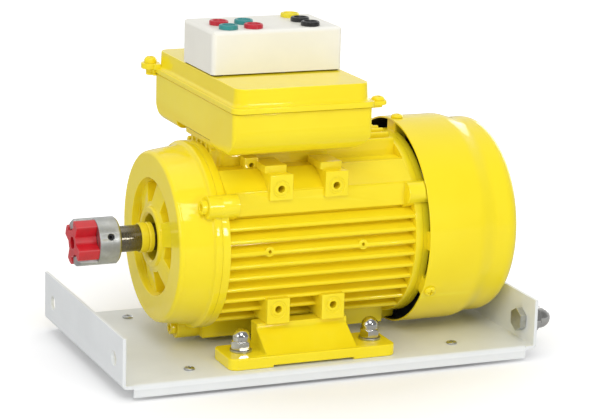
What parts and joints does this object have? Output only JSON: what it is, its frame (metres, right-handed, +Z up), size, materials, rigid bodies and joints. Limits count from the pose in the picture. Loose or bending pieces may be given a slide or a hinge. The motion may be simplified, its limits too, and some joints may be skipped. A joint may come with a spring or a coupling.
{
  "type": "capacitor start motor",
  "caption": "Foot-mounted finned single-phase motor on a folded steel base, with jaw coupling, terminal box holding its start capacitor, and a box of safety sockets for bench leads.",
  "frame": {"origin": "middle of the whole object's outline seen from above, on the surface that it stands on", "axes": "+X along the shaft from the coupling towards the fan, +Y away from the side with the socket columns' open end, +Z up"},
  "size_m": [0.3477, 0.182, 0.2472],
  "materials": {
    "off_white_paint": "warm off-white powder coat on folded steel",
    "yellow_paint": "glossy yellow enamel on cast aluminium",
    "black_rubber": "matt black rubber",
    "painted_rubber": "rubber ring painted over with the shield",
    "red_elastomer": "red cast elastomer",
    "zinc_plate": "bright zinc plate",
    "bright_plate": "bright nickel plate",
    "bright_steel": "ground steel",
    "black_steel": "black oxide",
    "core_steel": "stacked core steel",
    "cast_aluminium": "fine blasted cast aluminium",
    "winding_copper": "varnished copper wire",
    "brass": "plain brass",
    "brown_plastic": "moulded phenolic",
    "cream_plastic": "smooth cream plastic",
    "black_plastic": "smooth black plastic",
    "red_plastic": "smooth red plastic",
    "teal_plastic": "smooth blue-green plastic",
    "yellow_plastic": "smooth yellow plastic"
  },
  "bodies": {
    "stator": {"base_plate": "off_white_paint", "base_feet": "black_rubber", "base_foot_screws": "zinc_plate", "link_bolts": "zinc_plate", "link_washers": "zinc_plate", "link_nuts": "bright_plate", "near_foot": "yellow_paint", "far_foot": "yellow_paint", "foot_bolts": "zinc_plate", "foot_washers": "zinc_plate", "foot_nuts": "bright_plate", "foot_screws": "zinc_plate", "stator_frame": "yellow_paint", "stator_core": "core_steel", "main_winding": "winding_copper", "start_winding": "winding_copper", "drive_end_shield": "yellow_paint", "rear_end_shield": "yellow_paint", "drive_shield_screws": "yellow_paint", "rear_shield_screws": "zinc_plate", "bearing_outer_races": "bright_steel", "wave_washer": "bright_steel", "fan_cover": "yellow_paint", "fan_cover_screws": "yellow_paint", "switch_plate": "brown_plastic", "terminal_box_gasket": "black_rubber", "terminal_box": "yellow_paint", "terminal_box_screws": "zinc_plate", "lid_gasket": "black_rubber", "terminal_box_lid": "yellow_paint", "lid_screws": "yellow_paint", "start_capacitor": "black_plastic", "capacitor_strap": "zinc_plate", "terminal_block": "cream_plastic", "socket_box_spacers": "black_rubber", "socket_box": "cream_plastic", "socket_box_screws": "zinc_plate", "red_sockets": "red_plastic", "teal_sockets": "teal_plastic", "black_sockets": "black_plastic", "yellow_socket": "yellow_plastic", "socket_contacts": "brass", "socket_nuts": "black_plastic"},
    "rotor": {"rotor_shaft": "bright_steel", "rotor_core": "core_steel", "rotor_cage": "cast_aluminium", "shaft_key": "bright_steel", "shaft_seal": "painted_rubber", "coupling_hub": "cast_aluminium", "coupling_spider": "red_elastomer", "coupling_grub_screw": "black_steel", "cooling_fan": "black_plastic", "fan_clip": "bright_steel", "bearing_inner_races": "bright_steel", "governor_base": "brass"},
    "bearing_balls": {"bearing_balls": "bright_steel"},
    "governor_collar": {"governor_collar": "brown_plastic"},
    "governor_weight_upper": {"governor_weight_upper": "zinc_plate"},
    "governor_weight_lower": {"governor_weight_lower": "zinc_plate"},
    "contact_leaf": {"contact_leaf": "brass"}
  },
  "joints": [
    {"name": "rotor_spin", "type": "hinge", "parent": "stator", "child": "rotor", "pos_m": [0, 0, 0.0915], "axis": [1, 0, 0], "continuous": true},
    {"name": "balls_orbit", "type": "hinge", "parent": "stator", "child": "bearing_balls", "pos_m": [0, 0, 0.0915], "axis": [1, 0, 0], "continuous": true},
    {"name": "governor_slide", "type": "slide", "parent": "rotor", "child": "governor_collar", "axis": [-1, 0, 0], "range_m": [0, 0.003], "stiffness_N_per_m": 1500, "springref_m": -0.004},
    {"name": "weight_upper_swing", "type": "hinge", "parent": "rotor", "child": "governor_weight_upper", "pos_m": [0.04995, 0, 0.116], "axis": [0, -1, 0], "range_deg": [0, 21]},
    {"name": "weight_lower_swing", "type": "hinge", "parent": "rotor", "child": "governor_weight_lower", "pos_m": [0.04995, 0, 0.067], "axis": [0, 1, 0], "range_deg": [0, 21]},
    {"name": "contact_swing", "type": "hinge", "parent": "stator", "child": "contact_leaf", "pos_m": [0.06115, 0, 0.1315], "axis": [0, 1, 0], "range_deg": [0, 8]}
  ],
  "couplings": [
    {"joint": "balls_orbit", "follows": "rotor_spin", "ratio": 0.3985},
    {"joint": "weight_upper_swing", "follows": "governor_slide", "rad_per_m": 116},
    {"joint": "weight_lower_swing", "follows": "governor_slide", "rad_per_m": 116},
    {"joint": "contact_swing", "follows": "governor_slide", "rad_per_m": 45}
  ]
}
